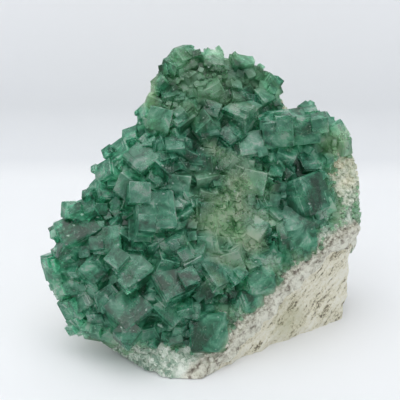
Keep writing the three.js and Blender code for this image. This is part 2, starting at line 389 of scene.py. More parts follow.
def colour_faces(piece, tone):
    count = len(piece.data.polygons)
    mark_faces(piece.data, "tone", [tone] * count)
    mark_faces(piece.data, "grey_sheen", [0.0] * count)


def foot_points(mesh):
    """The mesh's vertices in millimetres from the front's foot."""
    flat = np.empty(len(mesh.vertices) * 3)
    mesh.vertices.foreach_get("co", flat)
    return flat.reshape(-1, 3) / MM - np.array(FRONT_FOOT)


# ---- Crystals ----
# Each cube: place on the front, edge, direction its face leans (degrees from p), how far it leans,
# turn of the face in its own plane, lift out of the crust, paleness of its green. In mm and degrees.
MAIN_CRYSTALS = (
    # left tip and left edge
    (-64.5, 47, 10, 200, 50, 10, 0, 0.8),
    (-61.5, 63, 6, 150, 44, 20, 0, 0.8),
    (-58, 72, 7, 160, 29, 0, 0, 0.8),
    (-56, 61, 14, 100, 32, 30, 0.5, 0.15),
    (-58, 45, 9, 250, 44, 15, 0, 0.6),
    (-50.5, 71, 10, 120, 51, 20, 0, 0.4),
    (-44, 79, 9, 60, 44, 10, 0, 0.35),
    (-46, 82, 6, 150, 44, 40, 0, 0.6),
    (-42, 88, 9, 150, 44, 20, 0, 0.5),
    (-36, 97, 9, 140, 44, 30, 0, 0.5),
    (-32, 104, 7, 130, 44, 10, 0, 0.6),
    (-26, 115, 6, 170, 52, 25, 0, 0.7),
    # middle left
    (-42, 58, 12, 100, 17, 5, 1.5, 0.3),
    (-46, 48, 9, 240, 36, 30, 0, 0.4),
    (-23, 70, 17, 45, 25, 5, 4, 0.6),
    (-24, 57, 9, 80, 51, 30, 1, 0.3),
    (-12, 57, 11, 250, 29, 20, 2.5, 0.95),
    (-31, 45, 14, 95, 28, 40, 3, 0.45),
    (-14, 39, 15, 85, 30, 30, 3, 0.25),
    (-42, 37, 9, 280, 29, 35, 0, 0.3),
    (-48, 39, 8, 230, 36, 10, 0, 0.4),
    # lower middle
    (-33, 27, 16, 90, 30, 44, 2.5, 0.35),
    (-16, 27, 12, 60, 36, 45, 1.5, 0.3),
    (2, 18, 16, 110, 15, 5, 2, 0.1),
    (-24, 20, 8, 270, 36, 20, 0, 0.4),
    (5, 44, 14, 60, 36, 30, 2, 0.5),
    (23, 41, 13, 80, 41, 15, 1, 0.4),
    (19, 33, 10, 20, 29, 20, 0, 0.2),
    # right
    (44, 78, 17, 200, 44, 20, 3, 0.05),
    (40, 62, 17, 95, 36, 10, 2.5, 0.35),
    (43, 54, 8, 270, 29, 10, 0, 0.3),
    (31, 70, 9, 60, 44, 40, 0, 0.4),
    (25, 54, 8, 120, 44, 20, 0, 0.3),
    (15, 57, 7, 300, 36, 10, 0, 0.5),
    # upper right
    (61, 108.5, 9, 20, 36, 30, 0, 0.75),
    (63, 100, 6, 350, 40, 15, 0, 0.8),
    (32, 108, 13, 275, 28, 8, 6.5, 0.75),
    (44, 109.7, 13, 275, 28, 8, 6.5, 0.5),
    (46, 117, 6, 90, 45, 45, 0, 0.6),
    (53, 111, 8, 60, 40, 20, 0, 0.7),
    (53, 94, 8, 100, 44, 30, 0, 0.6),
    (46, 92, 9, 60, 36, 10, 0, 0.4),
    (33, 92, 8, 200, 36, 30, 0, 0.6),
    # upper middle
    (17, 113, 13, 95, 51, 50, 2.5, 0.55),
    (11, 104, 9, 80, 29, 45, 0, 0.3),
    (21, 100, 11, 110, 22, 10, 1.5, 0.7),
    (-11, 111, 10, 90, 36, 45, 1, 0.5),
    (-28, 93, 12, 85, 29, 45, 2, 0.45),
    (-7, 80, 9, 60, 36, 20, 0, 0.5),
    (-17, 82, 8, 120, 40, 10, 0, 0.35),
    (-9, 70, 9, 300, 44, 30, 0, 0.3),
    # top, their paleness lowered as painted shade
    (-8, 137, 9, 110, 29, 20, -1, 0.2),
    (4, 139.5, 9, 90, 22, 0, -1, 0.15),
    (16, 139, 10, 80, 36, 20, -1, 0.15),
    (-19, 128, 7, 150, 44, 30, 0, 0.5),
    (-15, 122, 8, 100, 51, 15, 0, 0.3),
    (4, 125, 10, 280, 29, 30, 0, 0.25),
    (15, 122, 9, 60, 44, 0, 0, 0.35),
    (26, 122, 8, 60, 44, 30, 0, 0.35),
    # lower left
    (-57, 30, 10, 220, 44, 20, 0, 0.85),
    (-52, 33, 9, 180, 36, 35, 0, 0.8),
    (-46, 26, 8, 240, 44, 10, 0, 0.6),
    (-55, 23, 8, 230, 52, 30, 0, 0.8),
    (-49, 20, 8, 250, 51, 0, 0, 0.7),
    (-41, 18, 8, 260, 44, 40, 0, 0.6),
)


def crystal_turn(toward, lean, turn):
    out = Vector((0, 0, 1))
    lean_axis = Vector((0, 1, 0))
    turned = LAYOUT_TURN @ Quaternion(out, math.radians(toward))
    leaned = turned @ Quaternion(lean_axis, math.radians(lean))
    return leaned @ Quaternion(out, math.radians(turn - toward))


TONES = 16
CHAMFER = 0.035  # width of the chamfered edges of a bigger crystal, as a share of its edge
EDGE_HIGHLIGHT_TONE = 0.45  # how much paler the chamfered edges are painted: a painted highlight
FACE_LIGHT_AND_SHADE = (0.15, 0.0, -0.15)  # a cube's three pairs of faces are painted a little lighter or darker: painted light and shade
SHEEN_FACE = 2  # the pair of faces with a thin grey film, a painted sheen of reflected light
FLAT = 0.99  # a face that faces one axis more than this is not a chamfered edge
cube_meshes = {}


def cube_mesh(tone, variant, chamfered):
    """A shared cube of edge 1 whose faces carry a paleness of green, paler on its chamfered edges as
    a painted highlight, and a share of painted grey sheen.
    """
    level = round(max(0.0, min(1.0, tone)) * (TONES - 1))
    key = (level, variant, chamfered)
    if key not in cube_meshes:
        shape = bmesh.new()
        bmesh.ops.create_cube(shape, size=1.0)
        if chamfered:
            bmesh.ops.bevel(shape, geom=shape.edges[:], offset=CHAMFER, segments=1, affect="EDGES")
        mesh = bpy.data.meshes.new("cube")
        shape.to_mesh(mesh)
        shape.free()
        tones, grey_sheen = [], []
        for face in mesh.polygons:
            axis = max(range(3), key=lambda i: abs(face.normal[i]))
            flat = abs(face.normal[axis]) > FLAT
            # chamfered edges get a painted highlight, flat faces painted light and shade per pair
            change = FACE_LIGHT_AND_SHADE[(axis + variant) % len(FACE_LIGHT_AND_SHADE)] if flat else EDGE_HIGHLIGHT_TONE
            tones.append(level / (TONES - 1) + change)
            # the grey film on this pair of faces is a painted sheen of reflected light
            grey_sheen.append(float(flat and axis == SHEEN_FACE))
        mark_faces(mesh, "tone", tones)
        mark_faces(mesh, "grey_sheen", grey_sheen)
        cube_meshes[key] = mesh
    return cube_meshes[key]


def add_cube(group, centre, turn, size, tone, chamfered=False):
    variant = len(group.objects) % len(FACE_LIGHT_AND_SHADE)
    cube = bpy.data.objects.new("cube", cube_mesh(tone, variant, chamfered))
    cube.matrix_world = Matrix.LocRotScale(in_frame(centre), turn, size * MM)
    group.objects.link(cube)


def random_turn(random, most):
    """A small turn about a random axis, at most this many degrees."""
    axis = Vector((random(-1, 1), random(-1, 1), random(-1, 1))).normalized()
    return Quaternion(axis, math.radians(random(-most, most)))


PLATE_WIDTH = (0.6, 0.95)  # growth plates, as a share of the crystal's edge
PLATE_RISE = (0.25, 0.7)  # how much longer than the crystal a plate is, in millimetres
PLATE_TONE = 0.05  # how much a plate's tone may differ from the crystal's
SATELLITE_EDGE = (0.3, 0.6)  # smaller cubes grown into a crystal, as a share of its edge
SATELLITE_PLACE = (0.3, 0.5)  # how far from its middle they sit, in edges
SATELLITE_TURN = 12  # how far they are turned from it at most, in degrees
SATELLITE_TONE = 0.2


def add_crystal(group, centre, turn, edge, tone, random, satellites):
    """A cube with growth plates on its faces and smaller cubes grown into it."""
    add_cube(group, centre, turn, Vector((edge, edge, edge)), tone, True)
    for axis in range(3):
        size = Vector([edge * random(*PLATE_WIDTH) for _ in range(3)])
        offset = Vector([random(-0.5, 0.5) * (edge - size[i]) for i in range(3)])
        size[axis] = edge + random(*PLATE_RISE)
        offset[axis] = 0
        plate_tone = tone + random(-PLATE_TONE, PLATE_TONE)
        add_cube(group, centre + turn @ offset, turn, size, plate_tone, True)
    for _ in range(satellites):
        small = edge * random(*SATELLITE_EDGE)
        place = Vector([math.copysign(random(*SATELLITE_PLACE), random(-1, 1)) for _ in range(3)])
        place[int(random(0, 3))] *= random(-1, 1)
        bent = turn @ random_turn(random, SATELLITE_TURN)
        small_tone = tone + random(-SATELLITE_TONE, SATELLITE_TONE)
        size = Vector((small, small, small))
        add_cube(group, centre + turn @ (place * edge), bent, size, small_tone, True)


# ---- Margins, pale patches and tones of the crust ----
def flank_depth(points):
    """How far each point is behind the plane of the broken flank, in millimetres."""
    normal, distance = BROKEN_SIDES[0]
    return distance - points @ np.array(normal)


def crust_margin(points):
    """How far each point (millimetres from the front's foot) is inside the edge of the crystals."""
    flank = np.array(BROKEN_SIDES[0][0])
    p, q, r = (points @ np.array(axis) for axis in (P_AXIS, Q_AXIS, R_AXIS))
    bare = np.minimum(q - FOOT_MARGIN, -(points @ flank) - FLANK_MARGIN)
    back = r - FRONT_SLOPE_P * p - FRONT_SLOPE_Q * q + CRUST_WRAP
    margin = np.minimum(bare, back)
    for middle_p, middle_q, half_p, half_q in BARE_PATCHES:
        beyond = np.hypot((p - middle_p) / half_p, (q - middle_q) / half_q) - 1
        margin = np.minimum(margin, half_p * beyond)
    return margin + margin_waves(points)


# An area is full inside this share of its half-widths and has faded out at the second.
SUGAR_FADE = (0.4, 1.2)
TONE_FADE = (2 / 3, 4 / 3)
SUGAR_RAGGED = 0.25  # how ragged the edges of the pale patches are


def faded(away, full, end):
    return (end - away) / (end - full)


def sugar_at(points):
    """1 in the fine pale patches of the front, 0 elsewhere."""
    p, q = (points @ np.array(axis) for axis in (P_AXIS, Q_AXIS))
    share = np.zeros(len(points))
    for middle_p, middle_q, half_p, half_q, strength in SUGAR_AREAS:
        away = np.hypot((p - middle_p) / half_p, (q - middle_q) / half_q)
        ragged = faded(away, *SUGAR_FADE) + SUGAR_RAGGED * margin_waves(points)
        share = np.maximum(share, strength * np.clip(ragged, 0, 1))
    return share


def zone_tone(point):
    """Broad light and dark areas of the front, two of them painted shade."""
    tone = float(tone_waves(np.array([point]))[0])
    p, q = point.dot(P_AXIS), point.dot(Q_AXIS)
    for middle_p, middle_q, half_p, half_q, change in TONE_AREAS:
        away = math.hypot((p - middle_p) / half_p, (q - middle_q) / half_q)
        tone += change * max(0, min(1, faded(away, *TONE_FADE)))
    return tone


# ---- Where the crystals go ----
FREE_FACE = 0.35  # how much of a main crystal is kept free around its middle, in edges
FREE_PER_LIFT = 0.04  # and how much more for each millimetre it is lifted
NEIGHBOUR_SHARE = 0.3  # the share of the smaller crystal's edge that has to stay out of it


def clear_of_main(point, edge):
    """Whether a crystal of this edge leaves the middle of every main crystal's face free."""
    p, q = point.dot(P_AXIS), point.dot(Q_AXIS)
    for main_p, main_q, main_edge, _, _, _, lift, _ in MAIN_CRYSTALS:
        free = (FREE_FACE + FREE_PER_LIFT * lift) * main_edge + NEIGHBOUR_SHARE * edge
        if math.hypot(p - main_p, q - main_q) < free:
            return False
    return True


MAIN_SEED = 5
# How far a cube's middle sits under the crust's surface, as a share of its edge.
MAIN_SUNK = 0.25
FILLER_SUNK = 0.32
FINE_SUNK = 0.42  # at most
MAIN_SATELLITES = 3
FILLER_SATELLITES = 2


def add_main_crystals(group):
    random = random_stream(MAIN_SEED)
    for p, q, edge, toward, lean, turn, lift, tone in MAIN_CRYSTALS:
        surface = float(front_height(p, q)) + PALE_LAYER + CRYSTAL_SHEET
        centre = from_layout(p, q, surface + lift - MAIN_SUNK * edge)
        turned = crystal_turn(toward, lean, turn)
        add_crystal(group, centre, turned, edge, tone, random, MAIN_SATELLITES)


GOLDEN_ANGLE = math.pi * (3 - math.sqrt(5))


def spread_direction(i, count, jitter, random):
    height = 1 - 2 * (i + 0.5) / count
    radius = math.sqrt(1 - height * height)
    angle = GOLDEN_ANGLE * i
    return Vector(
        (
            radius * math.cos(angle) + random(-jitter, jitter),
            radius * math.sin(angle) + random(-jitter, jitter),
            height + random(-jitter, jitter),
        )
    ).normalized()


def scattered(count, seed, jitter, edges, offset, least_margin):
    """Places all over the crust as (point, outward direction, edge, turn, margin, sugar)."""
    random = random_stream(seed)
    draws = []
    for i in range(count):
        direction = spread_direction(i, count, jitter, random)
        edge = random(*edges)
        turn = Euler([random(0, math.pi) for _ in range(3)], "ZYX").to_quaternion()
        draws.append((direction, edge, turn))
    directions = np.array([draw[0] for draw in draws])
    reaches = cover_reach(directions, offset)
    limits = fracture_reach(directions)
    points = np.array(CORE) + directions * reaches[:, None]
    margins = crust_margin(points)
    sugars = sugar_at(points)
    for i, (direction, edge, turn) in enumerate(draws):
        if reaches[i] <= limits[i] + edge and margins[i] > least_margin:
            yield Vector(points[i]), direction, edge, turn, float(margins[i]), float(sugars[i])


CRUST_SURFACE = PALE_LAYER + CRYSTAL_SHEET + SHEET_FILL
FILLERS = {
    "count": 215,
    "seed": 77,
    "jitter": 0.04,
    "edges": (6, 11),
    "offset": CRUST_SURFACE,
    "least_margin": 1,
}
FILLER_SEED = 31
FILLER_TONE = (0.3, 0.7)
FILLER_GROWTH = 8  # fillers grow from half size at the crust's edge to full size over this
FILLER_IN_SUGAR = 0.4  # how much smaller they are in the fine pale patches


def add_fillers(group):
    random = random_stream(FILLER_SEED)
    for point, out, edge, turn, margin, sugar in scattered(**FILLERS):
        tone = random(*FILLER_TONE) + zone_tone(point)
        grown = min(1, 0.5 + 0.5 * margin / FILLER_GROWTH)
        size = edge * grown * (1 - FILLER_IN_SUGAR * sugar)
        if clear_of_main(point, edge):
            centre = point - FILLER_SUNK * size * out
            add_crystal(group, centre, turn, size, tone, random, FILLER_SATELLITES)


SUGARY = 0.5  # from here on a place counts as a pale patch
SLIGHTLY_SUGARY = 0.25
NEAR_RIM = 5  # and up to this margin it counts as the crust's rim


def outside_sugar(margin, sugar):
    return sugar < SUGARY


def everywhere(margin, sugar):
    return True


def in_sugar_or_rim(margin, sugar):
    return sugar > SLIGHTLY_SUGARY or margin < NEAR_RIM


# Finer crystals: how many directions, seed, edges, least margin, where they go.
FINE_TIERS = (
    (550, 57, (6, 11), 2, outside_sugar),
    (3600, 99, (2.6, 5.2), -1, everywhere),
    (13000, 13, (1.3, 2.9), -3, in_sugar_or_rim),
)
FINE_JITTER = 0.02
FINE_TONE = (0.25, 0.75)
CHAMFERED_FROM = 4  # crystals with a longer edge than this get chamfered edges, painted paler as a highlight
RIM_WIDTH = 7  # towards the crust's edge the fine crystals get smaller, lower and paler over this
RIM_SHRINK = 0.35
RIM_SINK = 2
RIM_TONE = 0.3
SUGAR_SHRINK = 0.35


def add_fine_crystals(group):
    for count, seed, edges, least_margin, wanted in FINE_TIERS:
        random = random_stream(seed + 1)
        places = scattered(count, seed, FINE_JITTER, edges, CRUST_SURFACE, least_margin)
        for point, out, edge, turn, margin, sugar in places:
            rim = max(0, 1 - margin / RIM_WIDTH)
            size = edge * (1 - RIM_SHRINK * min(1, rim)) * (1 - SUGAR_SHRINK * sugar)
            tone = random(*FINE_TONE) + zone_tone(point) + RIM_TONE * rim
            rise = random(-FINE_SUNK, 0.0) * size - RIM_SINK * rim + SUGAR_RISE * sugar
            if wanted(margin, sugar) and clear_of_main(point, size):
                cube = Vector((size, size, size))
                add_cube(group, point + rise * out, turn, cube, tone, size > CHAMFERED_FROM)


# ---- The three pieces ----
SHEET_TAPER = 5  # the sheet tapers away over this distance at the crust's edge
SHEET_TONE = 0.65
LAYER_TONE = 1
BREAK_TONE = 0.6
GRAINY_TONE = 0.5
LAYER_ROOT = 1  # how far the pale layer reaches down into the rock
GRAINY_RISE = 0.8  # how far it stands out of the broken sides
COVERED_FROM_TO = (3, 9)  # crystals cover the layer more and more between these margins
BOX_GAP = 0.05
BOX_DROP = 10  # how far the box goes on below the floor, which is cut by itself
RIM_RISE = 6  # the crust's rim is coloured as if it stood this much higher, so the painted shade of low places doesn't darken it
RIM_RISE_WIDTH = 6
RIM_SUGAR = 0.6  # how much of the pale patches' colour the rim has
RIM_SUGAR_WIDTH = 4
RIM_SUGAR_HEIGHTS = (3, 7)  # that colour fades out between these heights over the layer


def smooth_step(low, high, value):
    share = np.clip((value - low) / (high - low), 0, 1)
    return share * share * (3 - 2 * share)


def height_over_cover(points):
    """How far each point stands out of the pale layer, in millimetres."""
    offsets = points - np.array(CORE)
    reaches = np.linalg.norm(offsets, axis=1)
    return reaches - cover_reach(offsets / reaches[:, None], PALE_LAYER)


def cover_object(name, offset, detail=COARSE):
    return star_object(name, detail, lambda directions: cover_reach(directions, offset))


def sheet_reach(directions):
    """The fluorite sheet between the crystals: uneven, and tapering away at the crust's edge."""
    reach = cover_reach(directions, PALE_LAYER)
    points = np.array(CORE) + directions * reach[:, None]
    swell = CRYSTAL_SHEET + SHEET_FILL + sheet_waves(points)
    swell += SUGAR_RISE * sugar_at(points)
    taper = smooth_step(0, SHEET_TAPER, crust_margin(points))
    return reach + swell * taper - 2 * SHEET_ROOT * (1 - taper)


def grainy_fracture_reach(directions):
    """The broken edge of the pale layer, which stands out a little from the rock's."""
    return rough_fracture_reach(directions) + GRAINY_RISE


def crust_limits():
    """The bodies that bound the crust: the broken sides, the floor and the solid model's box."""
    low, high = (Vector(corner) / MM for corner in cad_box)
    low.z -= BOX_DROP
    size = high - low - Vector((BOX_GAP, BOX_GAP, BOX_GAP))
    limits = [
        star_object("broken", FINE, rough_fracture_reach),
        space_behind("floor", Vector((0, 0, -1)), Vector((0, 0, BASE_CLEARANCE))),
        box_object("box", (low + high) / 2, Quaternion(), size),
    ]
    for limit in limits:
        colour_faces(limit, BREAK_TONE)
    return limits


def make_druse(limits):
    """The crystals and the sheet between them, as one closed crust."""
    sheet = star_object("druse", COARSE, sheet_reach)
    colour_faces(sheet, SHEET_TONE)
    crystals = new_group("crystals")
    add_main_crystals(crystals)
    add_fillers(crystals)
    add_fine_crystals(crystals)
    join(sheet, crystals)
    hollow = cover_object("hollow", PALE_LAYER - SHEET_ROOT)
    cut(sheet, hollow, operation="DIFFERENCE")
    cut(sheet, *limits)
    discard(hollow)
    points = foot_points(sheet.data)
    margins = crust_margin(points)
    heights = height_over_cover(points)
    rise = RIM_RISE * (1 - smooth_step(0, RIM_RISE_WIDTH, margins))
    rim_sugar = RIM_SUGAR * (1 - smooth_step(0, RIM_SUGAR_WIDTH, margins))
    rim_sugar *= 1 - smooth_step(*RIM_SUGAR_HEIGHTS, heights)
    # the height sets the painted shade of the low places between the crystals
    mark_points(sheet.data, "height", heights + rise)
    mark_points(sheet.data, "sugar", np.maximum(sugar_at(points), rim_sugar))
    return sheet


GRAINS = 30000  # how many places are tried
GRAIN_SEED = 83
GRAIN_JITTER = 0.01
GRAIN_MARGINS = (-14, 3)  # grains sit between these margins of the crust
GRAIN_LEVEL = 0.5  # and above this height over the floor
GRAIN_EDGES = (0.8, 2.4)
GRAIN_RISE = (-0.3, 0.2)  # how far a grain's middle stands out, as a share of its edge


def add_grains(group):
    """Small pale crystals on the bare rim of the layer, along the foot, flank and right edge."""
    random = random_stream(GRAIN_SEED)
    directions = []
    for i in range(GRAINS):
        directions.append(spread_direction(i, GRAINS, GRAIN_JITTER, random))
    directions = np.array(directions)
    cover = cover_reach(directions, PALE_LAYER)
    broken = fracture_reach(directions)
    points = np.array(CORE) + directions * np.minimum(cover, broken)[:, None]
    margins = crust_margin(points)
    low, high = GRAIN_MARGINS
    bare = (low < margins) & (margins < high)
    in_front = points @ np.array(R_AXIS) > -2 * CRUST_WRAP
    on_layer = cover - broken < PALE_LAYER
    off_floor = points[:, 2] > GRAIN_LEVEL
    for i in np.flatnonzero(bare & in_front & on_layer & off_floor):
        size = random(*GRAIN_EDGES)
        turn = Euler([random(0, math.pi) for _ in range(3)], "ZYX").to_quaternion()
        centre = Vector(points[i]) + random(*GRAIN_RISE) * size * Vector(directions[i])
        add_cube(group, centre, turn, Vector((size, size, size)), random(0, 1))


def make_layer(limits):
    """The pale layer between the crust and the rock, with grains where it is bare."""
    layer = cover_object("pale", PALE_LAYER)
    colour_faces(layer, LAYER_TONE)
    grains = new_group("grains")
    add_grains(grains)
    join(layer, grains)
    hollow = cover_object("hollow", -LAYER_ROOT)
    cut(layer, hollow, operation="DIFFERENCE")
    backward = from_layout(FRONT_SLOPE_P, FRONT_SLOPE_Q, -1)
    back = space_behind("break", backward, from_layout(0, 0, -CRUST_WRAP))
    grainy_break = star_object("grainy_break", FINE, grainy_fracture_reach)
    colour_faces(grainy_break, GRAINY_TONE)
    _, floor, box = limits
    cut(layer, grainy_break, floor, box, back)
    discard(hollow, back, grainy_break)
    points = foot_points(layer.data)
    mark_points(layer.data, "covered", smooth_step(*COVERED_FROM_TO, crust_margin(points)))
    mark_points(layer.data, "depth", flank_depth(points))
    return layer


def make_rock(limits):
    """The rock stands on the floor itself, a little lower than the crust."""
    rock = cover_object("rock", 0, FINE)
    broken, _, box = limits
    floor = space_behind("rock_floor", Vector((0, 0, -1)), Vector((0, 0, 0)))
    cut(rock, broken, box, floor)
    discard(floor)
    return rock


# ---- Materials ----
class Shader:
    """A material's node tree, with short calls to add and link nodes."""

    def __init__(self, name):
        self.material = bpy.data.materials.new(name)
        self.material.use_nodes = True
        self.nodes = self.material.node_tree.nodes
        self.principled = self.nodes["Principled BSDF"]
        self.place = self.nodes.new("ShaderNodeTexCoord").outputs["Object"]

    def link(self, source, target):
        self.material.node_tree.links.new(source, target)

    def node(self, kind, **settings):
        made = self.nodes.new(kind)
        for name, value in settings.items():
            setattr(made, name, value)
        return made

    def attribute(self, name):
        return self.node("ShaderNodeAttribute", attribute_name=name).outputs["Fac"]

    def noise(self, scale, detail=4.0, roughness=0.6, distortion=0.0, place=None):
        made = self.node("ShaderNodeTexNoise")
        for name, value in (("Scale", scale), ("Detail", detail), ("Roughness", roughness)):
            made.inputs[name].default_value = value
        made.inputs["Distortion"].default_value = distortion
        self.link(place or self.place, made.inputs["Vector"])
        return made.outputs["Fac"]

    def stretched(self, axis, share):
        """The place, shortened along an axis by this share, so that noise runs along it."""
        along = self.node("ShaderNodeVectorMath", operation="DOT_PRODUCT")
        along.inputs[1].default_value = axis
        self.link(self.place, along.inputs[0])
        part = self.node("ShaderNodeVectorMath", operation="SCALE")
        part.inputs[0].default_value = axis * share
        self.link(along.outputs["Value"], part.inputs["Scale"])
        rest = self.node("ShaderNodeVectorMath", operation="SUBTRACT")
        self.link(self.place, rest.inputs[0])
        self.link(part.outputs[0], rest.inputs[1])
        return rest.outputs[0]

    def near(self, point, radius):
        """1 at a point of the frame, falling to 0 at this distance (metres)."""
        away = self.node("ShaderNodeVectorMath", operation="DISTANCE")
        away.inputs[1].default_value = point
        self.link(self.place, away.inputs[0])
        return self.spread(away.outputs["Value"], 0, radius, 1, 0)

    def lines(self, value, width):
        """1 where a noise crosses its middle, 0 further than width away: thin winding lines."""
        away = self.maths("ABSOLUTE", self.maths("SUBTRACT", value, 0.5), 0)
        return self.spread(away, 0, width, 1, 0)

    def maths(self, operation, first, second):
        made = self.node("ShaderNodeMath", operation=operation)
        for socket, value in zip(made.inputs, (first, second)):
            if isinstance(value, (int, float)):
                socket.default_value = value
            else:
                self.link(value, socket)
        return made.outputs[0]

    def spread(self, value, low, high, new_low=0.0, new_high=1.0):
        made = self.node("ShaderNodeMapRange")
        self.link(value, made.inputs["Value"])
        names = ("From Min", "From Max", "To Min", "To Max")
        for name, number in zip(names, (low, high, new_low, new_high)):
            made.inputs[name].default_value = number
        return made.outputs[0]

    def ramp(self, value, stops):
        made = self.node("ShaderNodeValToRGB")
        elements = made.color_ramp.elements
        while len(elements) < len(stops):
            elements.new(0.5)
        for element, (position, colour) in zip(elements, stops):
            element.position = position
            element.color = (*colour, 1)
        self.link(value, made.inputs[0])
        return made.outputs[0]

    def mix(self, share, first, second):
        made = self.node("ShaderNodeMix", data_type="RGBA")
        sockets = (made.inputs[0], made.inputs[6], made.inputs[7])
        for socket, value in zip(sockets, (share, first, second)):
            if isinstance(value, tuple):
                socket.default_value = (*value, 1)
            elif isinstance(value, float):
                socket.default_value = value
            else:
                self.link(value, socket)
        return made.outputs[2]

    def bump(self, height, distance, strength=1.0):
        made = self.node("ShaderNodeBump")
        made.inputs["Strength"].default_value = strength
        made.inputs["Distance"].default_value = distance
        self.link(height, made.inputs["Height"])
        self.link(made.outputs[0], self.principled.inputs["Normal"])


FLUORITE_IOR = 1.434
FLUORITE_TRANSMISSION = 0.7
ABSORPTION_DENSITY = 100


def fluorite():
    """Clear to milky green crystal, each with its own paleness, clouds and specks, with painted
    shade low between crystals, painted white glints and a painted grey sheen.
    """
    shader = Shader("fluorite")
    clouds = shader.noise(130, 5, 0.6, 0.6)
    specks = shader.noise(750, 3, 0.6)
    level = shader.spread(shader.attribute("tone"), 0, 1, -0.05, 0.45)
    level = shader.maths("ADD", level, shader.spread(clouds, 0.35, 0.65, -0.2, 0.68))
    level = shader.maths("ADD", level, shader.spread(specks, 0.3, 0.7, -0.09, 0.09))
    # Painted shade: darker where the surface lies low between the crystals, paler towards their
    # tips.
    level = shader.maths("ADD", level, shader.spread(shader.attribute("height"), 0, 7, -0.3, 0.08))
    green = shader.ramp(
        level,
        (
            (0.05, (0.03, 0.11, 0.066)),
            (0.3, (0.045, 0.245, 0.145)),
            (0.55, (0.115, 0.5, 0.32)),
            (0.78, (0.3, 0.76, 0.54)),
            (0.95, (0.75, 0.97, 0.85)),
        ),
    )
    pale = shader.ramp(
        shader.maths("ADD", level, 0.16),
        (
            (0.05, (0.1, 0.3, 0.12)),
            (0.35, (0.38, 0.68, 0.36)),
            (0.8, (0.74, 0.92, 0.64)),
        ),
    )
    # A grey film on one pair of faces, less on dark crystals: a painted sheen of reflected light.
    sheen = shader.spread(shader.noise(38), 0.48, 0.6, 0, 0.5)
    sheen = shader.maths("MULTIPLY", shader.attribute("grey_sheen"), sheen)
    sheen = shader.maths("MULTIPLY", sheen, shader.spread(shader.attribute("tone"), 0.1, 0.4))
    green = shader.mix(sheen, green, (0.2, 0.44, 0.33))
    colour = shader.mix(shader.attribute("sugar"), green, pale)
    # Painted highlights: tiny white glints; the pale veils are the crystal's own.
    painted_glints = shader.spread(shader.noise(480, 1, 0.5), 0.72, 0.75)
    veils = shader.lines(shader.noise(75, 3, 0.5, 1.5), 0.012)
    veils = shader.maths("MULTIPLY", veils, shader.spread(specks, 0.4, 0.6, 0, 0.6))
    colour = shader.mix(shader.maths("MAXIMUM", painted_glints, veils), colour, (0.8, 1.0, 0.9))
    shader.link(colour, shader.principled.inputs["Base Color"])
    roughness = shader.spread(shader.noise(60), 0.3, 0.7, 0.18, 0.4)
    shader.link(roughness, shader.principled.inputs["Roughness"])
    shader.principled.inputs["IOR"].default_value = FLUORITE_IOR
    shader.principled.inputs["Transmission Weight"].default_value = FLUORITE_TRANSMISSION
    shader.bump(shader.noise(420, 4, 0.6), 0.0003, 0.25)
    absorb = shader.node("ShaderNodeVolumeAbsorption")
    absorb.inputs["Color"].default_value = (0.1, 0.7, 0.4, 1)
    absorb.inputs["Density"].default_value = ABSORPTION_DENSITY
    shader.link(absorb.outputs[0], shader.nodes["Material Output"].inputs["Volume"])
    return shader.material


CREAM_HEIGHTS = (0.055, 0.072)  # the bare layer turns cream between these heights, in metres


def pale_sugar():
    """Sugary pale grains where the layer is bare, green roots where crystals cover it."""
    shader = Shader("pale_sugar")
    grains = shader.noise(600, 5, 0.7)
    patches = shader.noise(120, 4, 0.6, 0.4)
    veins = shader.lines(shader.noise(260, 3, 0.55, 0.8), 0.04)
    level = shader.maths("ADD", shader.spread(grains, 0.3, 0.7), shader.attribute("tone"))
    level = shader.maths("ADD", level, shader.spread(patches, 0.35, 0.65))
    level = shader.maths("ADD", level, shader.maths("MULTIPLY", veins, 1.2))
    depth = shader.attribute("depth")
    level = shader.maths("ADD", level, shader.spread(depth, 2, 12, 0, -0.15))
    bare = shader.ramp(
        shader.spread(level, 0.5, 2.8),
        (
            (0.1, (0.25, 0.38, 0.29)),
            (0.35, (0.4, 0.53, 0.42)),
            (0.6, (0.62, 0.71, 0.6)),
            (0.85, (0.88, 0.93, 0.84)),
        ),
    )
    roots = shader.ramp(
        patches,
        (
            (0.35, (0.015, 0.09, 0.05)),
            (0.5, (0.1, 0.3, 0.19)),
            (0.65, (0.5, 0.72, 0.55)),
        ),
    )
    cream = shader.ramp(
        grains,
        (
            (0.35, (0.42, 0.38, 0.25)),
            (0.5, (0.78, 0.75, 0.56)),
            (0.7, (0.92, 0.9, 0.76)),
        ),
    )
    high = shader.node("ShaderNodeSeparateXYZ")
    shader.link(shader.place, high.inputs[0])
    creamy = shader.spread(high.outputs["Z"], *CREAM_HEIGHTS)
    creamy = shader.maths("MULTIPLY", creamy, shader.spread(patches, 0.4, 0.6, 0.5, 1))
    bare = shader.mix(creamy, bare, cream)
    rim = shader.ramp(
        shader.noise(330, 4, 0.7),
        (
            (0.36, (0.17, 0.13, 0.1)),
            (0.44, (0.5, 0.47, 0.38)),
            (0.56, (0.8, 0.79, 0.68)),
        ),
    )
    bare = shader.mix(shader.spread(depth, 0.2, 1.8, 0.9, 0), bare, rim)
    colour = shader.mix(shader.attribute("covered"), bare, roots)
    shader.link(colour, shader.principled.inputs["Base Color"])
    shader.principled.inputs["Roughness"].default_value = 0.55
    shader.bump(grains, 0.0012, 0.8)
    return shader.material


FLANK_GRAIN = Vector((0.6, 0.34, 0.72)).normalized()  # the rock's streaks run up and to the right
STAIN_PLACE = in_frame(from_layout(36, 24, -22))
STAIN_RADIUS = 0.014


